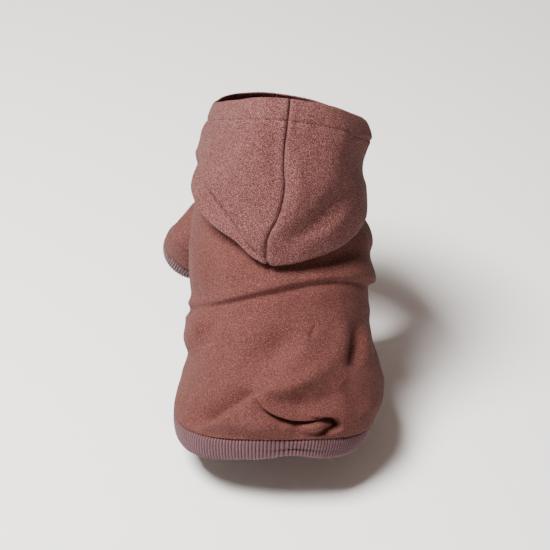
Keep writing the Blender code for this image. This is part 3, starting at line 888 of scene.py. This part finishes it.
for side, shoulder, cuff_spot in SLEEVES:
    top, axis, outward, across = sleeve_axis(shoulder, cuff_spot)
    ribs = round(2 * np.pi * CUFF_RADIUS / RIB_PITCH)
    angles = np.linspace(0, 2 * np.pi, ribs * STEPS_PER_RIB, endpoint=False)
    share, angle = np.meshgrid(np.linspace(0, 1, CUFF_ROWS), angles)
    radius = CUFF_RADIUS + smooth_rows(CUFF_SWELL, share)[..., 0] * RIB_WALL - RIB_HEIGHT
    rim_roll = np.exp(-(1 - share) * CUFF_WIDTH / EDGE_REACH)
    radius -= EDGE_DROP * rim_roll
    around = np.cos(angle)[..., None] * outward + np.sin(angle)[..., None] * across
    run = SLEEVE_LENGTH + SEAM_GAP + share * CUFF_WIDTH
    ring = top + axis * run[..., None] + around * radius[..., None]
    name = side + "_cuff_knit"
    cuff = knit_band(name, place(ring), ribs, RIB_WALL - RIB_HEIGHT, CUFF_LOOP_ROWS)
    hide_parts(side + "_cuff")
    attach(cuff, "root")


# Hem band
# A ring of the same rib knit sewn round the bottom, stretched a little by the fleece.
# Its edge turns in, and in the middle it arches up and rolls over the tail.
HEM_GIRTH = 0.46
# share of the band's width, swell in millimetres
HEM_SWELL = (
    (0.0, -1.4), (0.12, -0.2), (0.4, 0.4), (0.7, 0.3),
    (0.92, -0.3), (1.0, -1.4), (1.12, -3.4),
)
HEM_UNDER_FLEECE = 1.12
HEM_ROWS_ACROSS = 24
HEM_LOOP_ROWS = 8
HEM_SWELL_LOSS = 0.5
TAIL_SIDE = 0.008
TAIL_ARCH = 0.004
TAIL_ARCH_WIDTH = 0.02
TAIL_ARCH_POWER = 1.5
ROLL_HEIGHT = 0.0016
ROLL_CROWN = 0.12
ROLL_CROWN_WIDTH = 0.16
ROLL_LINE = 0.42
ROLL_LINE_WIDTH = 0.1
ribs = round(HEM_GIRTH / RIB_PITCH)
turns = np.linspace(-math.pi, math.pi, ribs * STEPS_PER_RIB, endpoint=False)
share, turn = np.meshgrid(np.linspace(0, HEM_UNDER_FLEECE, HEM_ROWS_ACROSS), turns)
along = share * HEM_BAND_WIDTH / BACK_LENGTH
ring = torso_form(turn, along)
ring_out = torso_normal(turn, along)
lift = smooth_rows(HEM_SWELL, share)[..., 0] * MM - RIB_HEIGHT
tail = bell(ring[..., 0] - TAIL_SIDE, TAIL_ARCH_WIDTH) * (np.cos(turn) > 0)
roll = bell(share - ROLL_CROWN, ROLL_CROWN_WIDTH) - bell(share - ROLL_LINE, ROLL_LINE_WIDTH)
lift += ROLL_HEIGHT * tail * roll
lift += cloth_noise(ring, *HEM_NOISE)
swell = HEM_LEFT_SWELL * bell(turn - SWELL_TURN, SWELL_SPREAD)
lift += swell * (1 - HEM_SWELL_LOSS * share)
ring = ring + ring_out * lift[..., None]
ring[..., 1] += TAIL_ARCH * tail * np.clip(1 - share, 0, 1) ** TAIL_ARCH_POWER
hem = knit_band("hem_knit", place(ring), ribs, RIB_WALL - RIB_HEIGHT, HEM_LOOP_ROWS)
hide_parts("hem_band")
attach(hem, "root")


# Hood
# Two halves of fleece, joined down the middle, sewn round the neck and laid back
# in a pointed bag. The opening edge is turned in as an 18 mm casing and stitched down.
RIM_WIDTH = 0.129
RIM_DEPTH = 0.156
RIM_RISE = 0.032
RIM_OUT = 0.043
RIM_LEAN = 0.005
HOOD_PUFF = 0.009
FOLD_RADIUS = 0.0057
STAND = 0.006
CLEARANCE = 0.003
HOOD_SAG = 0.0118
HOOD_SLANT = 0.0063
THROAT_RISE = 0.022
HOOD_COLUMNS = 120
HOOD_ROWS = 300
CASING_WIDTH = 0.018
# turn, fold_turn, fold_along, bag
HOOD_FOLD = (
    (-180, -180, 0.940, 0.08),
    (-150, -150, 0.935, 0.12),
    (-120, -119, 0.915, 0.20),
    (-90, -86, 0.870, 0.28),
    (-60, -58, 0.820, 0.50),
    (-30, -28, 0.725, 0.90),
    (0, -9, 0.636, 1.00),
    (30, 15, 0.660, 1.00),
    (60, 42, 0.712, 0.75),
    (90, 78, 0.790, 0.28),
    (120, 112, 0.860, 0.20),
    (150, 147, 0.930, 0.12),
    (180, 180, 0.940, 0.08),
)
# Seen square to the back, in shares of the rim's width and the back's length
HOOD_RIDGES = (
    ((0.46, 0.89), (0.22, 0.78), (0.0, 0.685), -5.2, 9.0),
    ((0.5, 0.84), (0.28, 0.74), (0.06, 0.655), 0.9, 5.0),
    ((-0.07, 1.03), (-0.08, 0.93), (-0.08, 0.83), -2.6, 7.0),
    ((0.04, 0.96), (0.03, 0.86), (-0.02, 0.76), 1.8, 6.0),
    ((-0.53, 0.95), (-0.37, 0.805), (-0.2, 0.68), 1.5, 2.4),
    ((0.3, 1.02), (0.26, 0.92), (0.2, 0.86), 1.4, 14.0),
    ((-0.3, 1.0), (-0.28, 0.9), (-0.2, 0.8), 1.2, 14.0),
)
# The pleat down the hood's left side, in the same terms as the overlaps
HOOD_PLEAT = (
    ((-0.56, 1.01), (-0.489, 0.905), (-0.263, 0.722), (-0.14, 0.64)),
    3.4, 5.2, 0.4, 9.0, 0.6, 1.1, 0.8,
)
PLEAT_SPREAD = 0.0085
PLEAT_REACH = 0.009
# Millimetres that the hood's outlines stand out further than the plain form
# along, left, right
HOOD_SIDES = (
    (0.78, 0.0, 0.0), (0.845, 0.0, -3.0), (0.884, 0.0, -4.6), (0.92, -2.3, -8.0),
    (0.955, -4.2, -8.4), (0.99, -5.0, -5.5), (1.029, -6.0, -1.2), (1.065, -5.6, -1.5),
    (1.102, -7.6, -3.0),
)
# Where the centre seam runs over the top of the hood, as shares: along, across
HOOD_SEAM = (
    (0.6, -0.124), (0.64, -0.126), (0.707, -0.12), (0.762, -0.07),
    (0.842, -0.036), (0.933, -0.044), (0.975, -0.039), (1.053, -0.023),
    (1.132, -0.005),
)
SEAM_SPREAD = 0.55
# Guide points of the inner layer, as shares of the way from the neck to the fold
GUIDES_TO_FOLD = (0.12, 0.4, 0.7, 0.94)
NECK_END = 0.97
BEHIND_FOLD = 0.02
STAND_SHARES = (0.6, 0.4)
FIRST_RISE = 0.6
FIRST_CLEARANCE = 0.2
# The fold's radius by its bag, and its edge and top in radii: out, and behind or ahead
FOLD_SHARES = (0.8, 0.2)
FOLD_EDGE = (0.9, 0.6)
FOLD_TOP = (2.0, 0.5)
# share of the way from the fold to the opening, share of the puff
PUFF_SHARES = ((0.22, 0.62), (0.48, 1.0), (0.74, 0.8), (0.9, 0.38))
# Shares of the cloth from neck to opening where the outer layer's shapes start, and their span
OUTER_FOLDS = (0.56, 0.06)
PLEAT_ROWS = (0.5, 0.06)
OUTER_SIDES = 0.35
SEAM_ROWS_START = 0.62
# Lines along the centre seam: height, distance from it, width
SEAM_LINES = ((-0.0016, 0.0, 0.002), (0.0003, 0.006, 0.004))
CASING_LIFT = 0.0009
CASING_ROUNDNESS = 0.4
CASING_STEP = 0.0008
CASING_GROOVE_WIDTH = 0.0012
# waves round, drift, waves of the drift
CASING_PUCKERS = (34, 1.5, 9)
PUCKER_HEIGHT = 0.0003
PUCKER_REACH = 0.006


def hood_rim(turn):
    """The edge of the hood's opening round the neck."""
    nape = torso_form(np.array(0.0), np.array(1.0))
    side = np.sin(turn)
    down = (1 - np.cos(turn)) / 2
    across = RIM_LEAN + RIM_WIDTH / 2 * side
    length = nape[1] + RIM_RISE + THROAT_RISE * down - HOOD_SAG * side**2 - HOOD_SLANT * side
    out = nape[2] + RIM_OUT - RIM_DEPTH * down
    return np.stack([across, length, out], axis=-1)


def hood_guides(turn):
    """Guide points of the hood cloth at one turn, from the neck seam to the opening edge."""
    rows = smooth_rows(HOOD_FOLD, np.degrees(turn))
    fold_turn = np.radians(rows[..., 0])
    fold_along = rows[..., 1]
    bag = rows[..., 2][..., None]
    seam = torso_form(turn, 1.0)
    seam_out = torso_normal(turn, 1.0)
    ahead = seam - torso_form(turn, NECK_END)
    ahead /= np.linalg.norm(ahead, axis=-1, keepdims=True)
    stand = STAND * (STAND_SHARES[0] + STAND_SHARES[1] * bag)
    guides = [
        seam + ahead * PANEL_GAP,
        seam + ahead * (PANEL_GAP + stand * FIRST_RISE) + seam_out * CLEARANCE * FIRST_CLEARANCE,
        seam + ahead * (PANEL_GAP + stand) + seam_out * CLEARANCE,
    ]
    for share in GUIDES_TO_FOLD:
        at_turn = turn + (fold_turn - turn) * share
        at_along = 1 + (fold_along - 1) * share
        guides.append(torso_form(at_turn, at_along) + torso_normal(at_turn, at_along) * CLEARANCE)
    fold_out = torso_normal(fold_turn, fold_along)
    fold = torso_form(fold_turn, fold_along)
    behind = torso_form(fold_turn, np.clip(fold_along - BEHIND_FOLD, 0, 1)) - fold
    behind /= np.linalg.norm(behind, axis=-1, keepdims=True)
    radius = FOLD_RADIUS * (FOLD_SHARES[0] + FOLD_SHARES[1] * bag)
    out, back_from = FOLD_EDGE
    guides.append(fold + fold_out * (CLEARANCE + radius * out) + behind * radius * back_from)
    out, forward = FOLD_TOP
    top = fold + fold_out * (CLEARANCE + radius * out) - behind * radius * forward
    guides.append(top)
    rim = hood_rim(turn)
    swell = HOOD_PUFF * bag
    for share, rise in PUFF_SHARES:
        guides.append(top + (rim - top) * share + fold_out * swell * rise)
    guides.append(rim)
    return np.stack(guides, axis=-2)


def hood_form(turn, down):
    """Outer face of the hood without its creases: down is 0 at the neck and 1 at the edge."""
    guides = hood_guides(turn)
    count = guides.shape[-2]
    padded = np.concatenate([
        2 * guides[..., :1, :] - guides[..., 1:2, :],
        guides,
        2 * guides[..., -1:, :] - guides[..., -2:-1, :],
    ], axis=-2)
    spot = np.clip(down, 0, 1) * (count - 1)
    low = np.clip(np.floor(spot).astype(int), 0, count - 2)
    s = (spot - low)[..., None]
    near = []
    for step in range(4):
        index = (low + step)[..., None, None]
        near.append(np.take_along_axis(padded, index, axis=-2)[..., 0, :])
    return 0.5 * (
        2 * near[1]
        + (near[2] - near[0]) * s
        + (2 * near[0] - 5 * near[1] + 4 * near[2] - near[3]) * s**2
        + (3 * near[1] - near[0] - 3 * near[2] + near[3]) * s**3
    )


def grid_normals(points):
    """Outward normals of a grid of points, columns by rows."""
    by_column = np.gradient(points, axis=0)
    by_row = np.gradient(points, axis=1)
    normal = np.cross(by_column, by_row)
    return normal / np.maximum(np.linalg.norm(normal, axis=-1, keepdims=True), 1e-12)


def hood_cloth(turn, down):
    """The hood's outer face with its creases, casing and the groove of its centre seam."""
    form = hood_form(turn, down)
    normal = grid_normals(form)
    steps = np.linalg.norm(np.diff(form, axis=1), axis=-1)
    summed = np.cumsum(steps[:, ::-1], axis=1)[:, ::-1]
    from_edge = np.concatenate([summed, np.zeros((len(form), 1))], axis=1)
    upper = ease((down - OUTER_FOLDS[0]) / OUTER_FOLDS[1])
    seen = form[..., :2]
    size = (RIM_WIDTH, BACK_LENGTH)
    lift = ridge_lift(seen, HOOD_RIDGES, size)
    rise, slide = overlap_move(seen, HOOD_PLEAT, size)
    lift = (lift + rise) * upper
    lift += cloth_noise(form, *HOOD_NOISE) * upper
    seam_reach = np.abs(turn) * np.linalg.norm(form[..., [0, 2]], axis=-1)
    for height, distance, width in SEAM_LINES:
        lift += height * bell(seam_reach - distance, width)
    casing = 1 / (1 + np.exp((from_edge - CASING_WIDTH) / CASING_STEP))
    over_casing = np.sin(np.pi * np.clip(from_edge / CASING_WIDTH, 0, 1))
    lift += CASING_LIFT * casing * np.clip(over_casing, 0, 1) ** CASING_ROUNDNESS
    lift -= CASING_STEP * bell(from_edge - CASING_WIDTH, CASING_GROOVE_WIDTH)
    lift -= EDGE_DROP * np.exp(-from_edge / EDGE_REACH)
    puckers = uneven_wave(turn, *CASING_PUCKERS) * bell(from_edge - CASING_WIDTH, PUCKER_REACH)
    lift += PUCKER_HEIGHT * puckers
    moved = form + normal * lift[..., None]
    moved[..., :2] += slide * upper[..., None]
    signed, share, left_side = path_distance(seen, HOOD_PLEAT[0], size)
    strip = PLEAT_SPREAD * np.clip(-signed / PLEAT_REACH, 0, 1) * soft_ends(share)
    strip = strip * np.clip((down - PLEAT_ROWS[0]) / PLEAT_ROWS[1], 0, 1)
    moved[..., :2] -= left_side * strip[..., None]
    outer = ease(down / OUTER_SIDES)
    moved[..., 0] += side_shift(form, HOOD_SIDES, RIM_LEAN, RIM_WIDTH / 2) * outer
    middle = hood_form(np.zeros((1, form.shape[1])), down[:1])[0]
    top_rows = middle[down[0] > SEAM_ROWS_START]
    order = np.argsort(top_rows[:, 1])
    seam_now = np.interp(form[..., 1], top_rows[order, 1], top_rows[order, 0])
    seam_goal = smooth_rows(HOOD_SEAM, form[..., 1] / BACK_LENGTH)[..., 0] * RIM_WIDTH
    moved[..., 0] += (seam_goal - seam_now) * bell(turn, SEAM_SPREAD) * upper
    return moved, from_edge


hood_fleece = nap_material(
    "hood_fleece",
    dark=(0.04, 0.0088, 0.0076, 1),
    middle=(0.078, 0.0212, 0.0186, 1),
    light=(0.46, 0.245, 0.236, 1),
    speckle=0.58,
)
SEAM_GAP_SHARE = 0.595
COLUMN_CROWDING = 1.35
STITCH_LIFT = 0.0001
seam_turn = SEAM_GAP_SHARE * PANEL_GAP / RIM_WIDTH
column_shares = np.linspace(0, 1, HOOD_COLUMNS) ** COLUMN_CROWDING
near_seam = seam_turn + (math.pi - 2 * seam_turn) * column_shares
casing_line = []
for side, half_turns in (("left", -near_seam[::-1]), ("right", near_seam)):
    turn, down = np.meshgrid(half_turns, np.linspace(0, 1, HOOD_ROWS), indexing="ij")
    cloth, from_edge = hood_cloth(turn, down)
    half = walled_cloth("hood_" + side + "_cloth", place(cloth), FLEECE_WALL, hood_fleece)
    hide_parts("hood_" + side)
    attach(half, "root")
    normal = grid_normals(cloth)
    for column in range(0, HOOD_COLUMNS, 2):
        row = int(np.argmin(np.abs(from_edge[column] - CASING_WIDTH)))
        casing_line.append(cloth[column, row] + normal[column, row] * STITCH_LIFT)


# Hood seam allowance
# The centre seam is overlocked inside, and its edges are pressed flat as one narrow strip.
# It is caught by the seam, from a little above the neck to the opening.
SEAM_ALLOWANCE = 0.0105
STRIP_WALL = 0.0012
STRIP_START = 0.24
STRIP_DEPTH = 0.9
STRIP_COLUMNS = 7
SEAM_TURN_STEP = 0.02
seam_turns = np.array([-SEAM_TURN_STEP, 0.0, SEAM_TURN_STEP])
turn, down = np.meshgrid(seam_turns, np.linspace(0, 1, HOOD_ROWS), indexing="ij")
cloth, _ = hood_cloth(turn, down)
seam_out = grid_normals(cloth)[1]
seam_path = cloth[1]
along_path = np.gradient(seam_path, axis=0)
sideways = np.cross(along_path, seam_out)
sideways /= np.linalg.norm(sideways, axis=-1, keepdims=True)
reach = np.linspace(-0.5, 0.5, STRIP_COLUMNS) * SEAM_ALLOWANCE
strip = seam_path[None] - seam_out[None] * (FLEECE_WALL * STRIP_DEPTH)
strip = strip + sideways[None] * reach[:, None, None]
hidden_rows = int(HOOD_ROWS * STRIP_START)
shown_strip = place(strip[:, hidden_rows:])
allowance = walled_cloth("hood_seam_allowance", shown_strip, STRIP_WALL, hood_fleece)
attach(allowance, "root")


# Casing stitches
# One row of brown lockstitch holds the casing's turned-in edge down, all round the opening.
# Each stitch is a short thread lying in the small groove along the casing.
STITCH_PITCH = 0.003
STITCH_LENGTH = 0.0021
STITCH_THICKNESS = 0.00042


def stitch_tree():
    """Geometry nodes that lay thread stitches along a curve."""
    tree, given = new_tree("thread_stitches", ("Pitch", "Length", "Thickness"))
    inputs = {"Curve": given["Geometry"], "Length": given["Pitch"]}
    dots = add_node(tree, "GeometryNodeCurveToPoints", inputs, mode="LENGTH")
    bead = add_node(tree, "GeometryNodeMeshIcoSphere", {"Radius": 0.5, "Subdivisions": 2})
    thick = given["Thickness"]
    size = add_node(tree, "ShaderNodeCombineXYZ", {"X": given["Length"], "Y": thick, "Z": thick})
    inputs = {"Vector": dots.outputs["Tangent"]}
    aligned = add_node(tree, "FunctionNodeAlignRotationToVector", inputs, axis="X")
    laid = add_node(tree, "GeometryNodeInstanceOnPoints", {
        "Points": dots.outputs["Points"],
        "Instance": bead.outputs["Mesh"],
        "Rotation": aligned.outputs["Rotation"],
        "Scale": size.outputs["Vector"],
    })
    return end_tree(tree, given, laid.outputs["Instances"])


def thread_material():
    """Polyester thread with a fine twist."""
    material, tree, shader = new_material("brown_thread")
    spot = add_node(tree, "ShaderNodeTexCoord").outputs["Object"]
    inputs = {"Vector": spot, "Scale": 900, "Distortion": 2}
    twist = add_node(tree, "ShaderNodeTexWave", inputs).outputs["Fac"]
    dark = (0.16, 0.065, 0.052, 1)
    light = (0.30, 0.15, 0.13, 1)
    wire(tree, shader, {"Base Color": add_mix(tree, twist, dark, light), "Roughness": 0.6})
    return material


curve = bpy.data.curves.new("casing_stitches", "CURVE")
curve.dimensions = "3D"
spline = curve.splines.new("POLY")
spline.points.add(len(casing_line) - 1)
for point, spot in zip(spline.points, place(np.array(casing_line))):
    point.co = (*spot, 1.0)
stitches = add_object("casing_stitches", curve)
values = {
    "Pitch": STITCH_PITCH,
    "Length": STITCH_LENGTH,
    "Thickness": STITCH_THICKNESS,
    "Material": thread_material(),
}
stitches = bake(stitches, stitch_tree(), values)
stitches.data.shade_smooth()
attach(stitches, "root")
